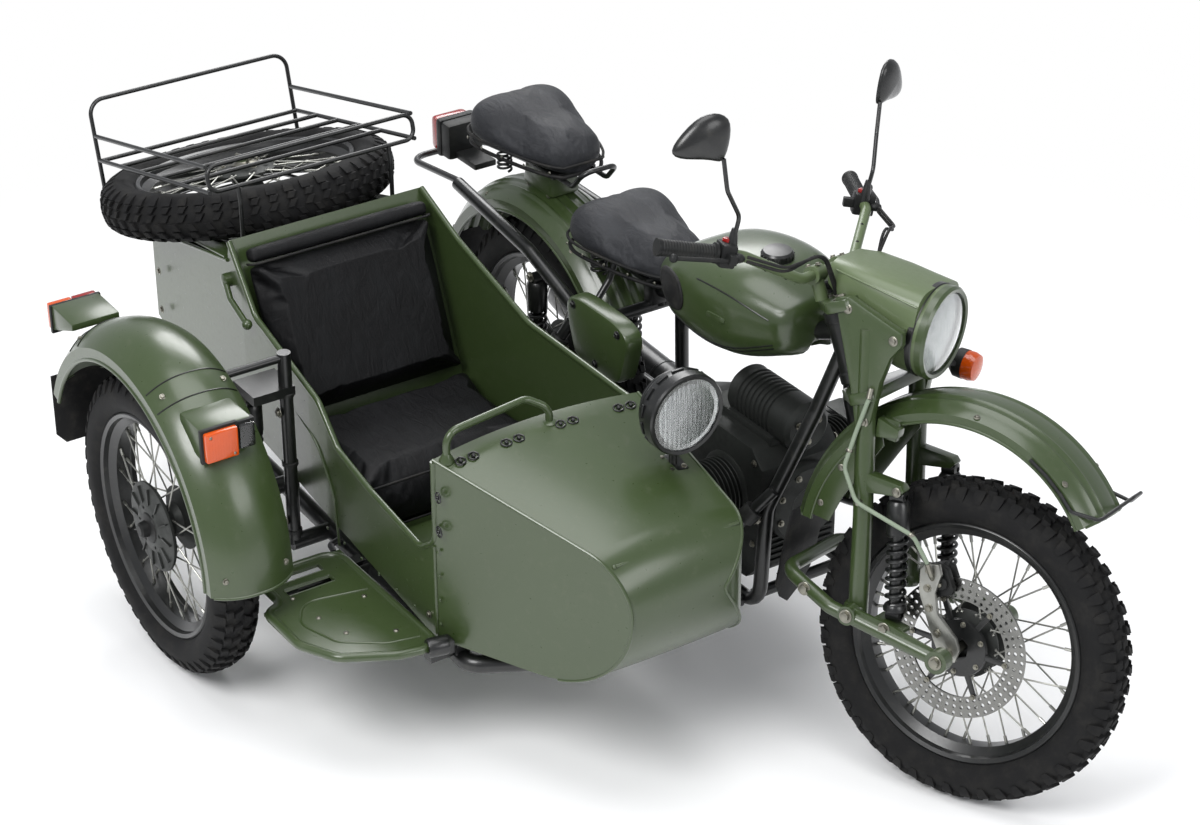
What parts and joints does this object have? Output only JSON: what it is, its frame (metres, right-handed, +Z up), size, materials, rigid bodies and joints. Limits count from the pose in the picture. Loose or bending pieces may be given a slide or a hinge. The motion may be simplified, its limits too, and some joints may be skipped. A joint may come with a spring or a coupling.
{
  "type": "sidecar motorcycle",
  "caption": "Three-wheeled motorcycle with a leading-link fork, flat twin engine and an open sidecar with a trunk lid, luggage rack and spare wheel.",
  "frame": {"origin": "on the ground, under the middle of the whole vehicle's footprint", "axes": "+X forward, +Y to the rider's left, +Z up; the sidecar is on the right, at -Y"},
  "size_m": [2.5454, 1.6244, 1.4411],
  "materials": {
    "tyre": "matte",
    "green_paint": "satin",
    "sage_paint": "satin",
    "black_paint": "satin",
    "bright_alloy": "satin",
    "dark_alloy": "cast",
    "bright_steel": "brushed",
    "black_rubber": "matte",
    "grey_vinyl": "satin",
    "black_vinyl": "satin",
    "clear_glass": "clear",
    "amber_plastic": "gloss",
    "red_plastic": "gloss",
    "black_plastic": "matte"
  },
  "bodies": {
    "chassis": {"cowl_grab_bar": "green_paint", "driver_seat": "grey_vinyl", "engine_crankcase": "dark_alloy", "engine_cylinders": "dark_alloy", "exhaust": "black_paint", "foot_pegs": "black_rubber", "footboard": "green_paint", "fuel_tank": "green_paint", "gearbox": "dark_alloy", "main_frame": "black_paint", "mud_flaps": "black_rubber", "passenger_seat": "grey_vinyl", "rear_fender": "green_paint", "rear_swing_arm": "black_paint", "seat_back": "black_vinyl", "seat_carriers": "black_paint", "seat_cushion": "black_vinyl", "shock_absorbers": "black_paint", "side_boxes": "green_paint", "sidecar_fender": "green_paint", "sidecar_frame": "black_paint", "sidecar_lamps": "amber_plastic", "sidecar_swing_arm": "black_paint", "spot_lamp": "black_paint", "tail_light": "red_plastic", "tub_nose": "green_paint", "tub_shell": "green_paint"},
    "steering": {"fork": "green_paint", "link_arm": "green_paint", "front_shocks": "black_paint", "front_fender": "green_paint", "front_mud_flap": "black_rubber", "headlight_shell": "sage_paint", "headlight_lens": "clear_glass", "handlebar": "sage_paint", "hand_controls": "black_plastic", "mirrors": "black_paint", "instrument": "black_plastic", "turn_signal": "amber_plastic", "brake_caliper": "bright_alloy", "brake_hose": "black_rubber"},
    "trunk_lid": {"trunk_lid": "green_paint", "luggage_hoop": "black_paint", "luggage_basket": "black_paint", "spare_tyre": "tyre", "spare_rim": "black_paint", "spare_spoked_hub": "bright_alloy"},
    "front_wheel": {"front_tyre": "tyre", "front_rim": "black_paint", "front_spoked_hub": "bright_alloy", "front_brake_disc": "bright_steel"},
    "rear_wheel": {"rear_tyre": "tyre", "rear_rim": "black_paint", "rear_spoked_hub": "bright_alloy"},
    "sidecar_wheel": {"sidecar_tyre": "tyre", "sidecar_rim": "black_paint", "sidecar_spoked_hub": "bright_alloy"}
  },
  "joints": [
    {"name": "steering_turn", "type": "hinge", "parent": "chassis", "child": "steering", "pos_m": [1.02274, 0.39278, 0], "axis": [-0.4695, 0, 0.8829], "range_deg": [-62, 10]},
    {"name": "front_wheel_spin", "type": "hinge", "parent": "steering", "child": "front_wheel", "pos_m": [0.95317, 0.43972, 0.33583], "axis": [-0.3871, 0.8988, -0.2058], "continuous": true},
    {"name": "rear_wheel_spin", "type": "hinge", "parent": "chassis", "child": "rear_wheel", "pos_m": [-0.53726, 0.39278, 0.342], "axis": [0, 1, 0], "continuous": true},
    {"name": "sidecar_wheel_spin", "type": "hinge", "parent": "chassis", "child": "sidecar_wheel", "pos_m": [-0.35826, -0.71622, 0.342], "axis": [0, 1, 0], "continuous": true},
    {"name": "trunk_lid_turn", "type": "hinge", "parent": "chassis", "child": "trunk_lid", "pos_m": [-1.06726, -0.17722, 0.683], "axis": [0, -1, 0], "range_deg": [0, 60]}
  ]
}
